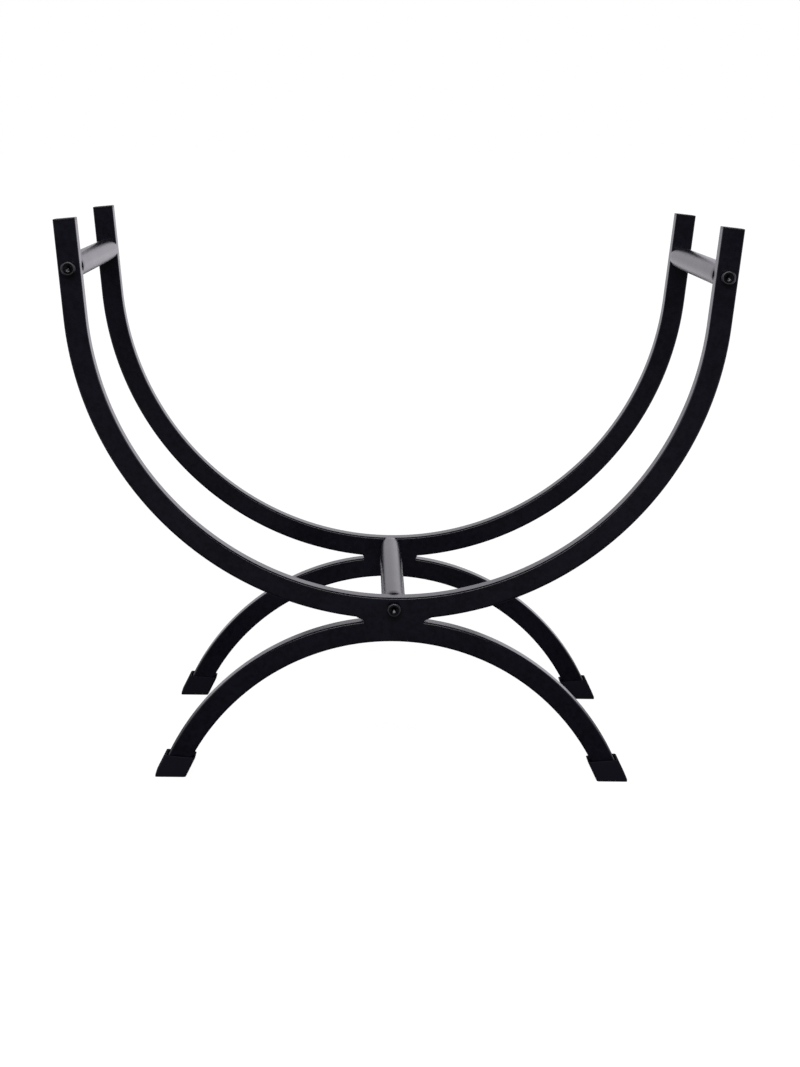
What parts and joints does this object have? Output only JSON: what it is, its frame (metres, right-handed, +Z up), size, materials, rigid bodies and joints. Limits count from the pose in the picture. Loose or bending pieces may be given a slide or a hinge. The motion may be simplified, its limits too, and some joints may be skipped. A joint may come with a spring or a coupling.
{
  "type": "firewood log rack",
  "caption": "Open firewood rack: round-bent square-tube cradles welded on arched legs, tied by bolted round crossbars, with rubber foot caps, to hold split logs beside a hearth.",
  "frame": {"origin": "on the floor under the middle of the rack", "axes": "+X right across the cradle, +Y back along the crossbars, +Z up"},
  "size_m": [0.6148, 0.369, 0.5082],
  "materials": {
    "black_powder_coat": "satin black powder coat over steel tube",
    "black_rubber": "matte moulded",
    "black_plastic": "satin moulded",
    "black_screw_steel": "black oxide",
    "bare_steel": "turned"
  },
  "bodies": {
    "root": {"bottom_crossbar": "black_powder_coat", "front_bottom_screw": "black_screw_steel", "front_bottom_threaded_plug": "bare_steel", "front_cradle_bar": "black_powder_coat", "front_left_end_plug": "black_plastic", "front_left_foot_cap": "black_rubber", "front_left_screw": "black_screw_steel", "front_left_threaded_plug": "bare_steel", "front_leg_arch": "black_powder_coat", "front_right_end_plug": "black_plastic", "front_right_foot_cap": "black_rubber", "front_right_screw": "black_screw_steel", "front_right_threaded_plug": "bare_steel", "front_weld": "black_powder_coat", "left_crossbar": "black_powder_coat", "rear_bottom_screw": "black_screw_steel", "rear_bottom_threaded_plug": "bare_steel", "rear_cradle_bar": "black_powder_coat", "rear_left_end_plug": "black_plastic", "rear_left_foot_cap": "black_rubber", "rear_left_screw": "black_screw_steel", "rear_left_threaded_plug": "bare_steel", "rear_leg_arch": "black_powder_coat", "rear_right_end_plug": "black_plastic", "rear_right_foot_cap": "black_rubber", "rear_right_screw": "black_screw_steel", "rear_right_threaded_plug": "bare_steel", "rear_weld": "black_powder_coat", "right_crossbar": "black_powder_coat"}
  },
  "joints": []
}
